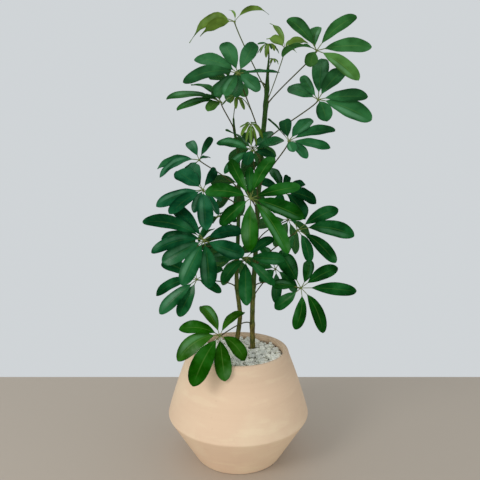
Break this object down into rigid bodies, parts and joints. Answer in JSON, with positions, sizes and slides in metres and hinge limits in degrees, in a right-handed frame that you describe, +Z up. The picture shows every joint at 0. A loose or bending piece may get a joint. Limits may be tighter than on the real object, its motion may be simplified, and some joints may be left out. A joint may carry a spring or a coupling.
{
  "type": "potted umbrella plant",
  "caption": "Umbrella plant with glossy palmate leaves on slim upright stems, in a creased terracotta pot whose soil is topped with pale marble chips.",
  "frame": {"origin": "centre of the pot's flat base, on the surface that it stands on", "axes": "+Z up along the pot's axis, -Y towards the viewer of the plant's front, +X to the viewer's right"},
  "size_m": [0.4858, 0.3921, 1.0382],
  "materials": {
    "terracotta": "matte unglazed, pale peach, with faint throwing bands",
    "soil": "rough dark potting soil",
    "marble_chips": "matte white and grey crushed marble",
    "bark": "smooth olive bark, greener towards the tips",
    "leaf": "glossy deep green with a paler midrib",
    "young_leaf": "soft yellow-green, less glossy"
  },
  "bodies": {
    "root": {"pot": "terracotta", "soil": "soil", "pebbles": "marble_chips", "stem_front": "bark", "stem_back": "bark", "leaf_low_front": "leaf", "leaf_low_left": "leaf", "leaf_big_left": "leaf", "leaf_mid_left": "leaf", "leaf_upper_left": "leaf", "leaf_upper_centre": "leaf", "leaf_top_left": "leaf", "leaf_left_tip": "leaf", "leaf_right_top": "leaf", "leaf_right_upper": "leaf", "leaf_right_mid": "leaf", "leaf_centre_front": "leaf", "leaf_centre_low": "leaf", "leaf_right_face": "leaf", "leaf_right_low": "leaf", "leaf_inner_low": "leaf", "leaf_inner_right": "leaf", "leaf_inner_left": "leaf", "leaf_inner_high": "leaf", "leaf_behind_low": "leaf", "leaf_behind_left": "leaf", "leaf_behind_right": "leaf", "leaf_behind_high": "leaf", "leaf_behind_top": "leaf", "young_left_high": "young_leaf", "young_right_high": "young_leaf", "sprout_top": "young_leaf", "sprout_second": "young_leaf", "sprout_left": "young_leaf", "sprout_centre": "young_leaf"}
  },
  "joints": []
}
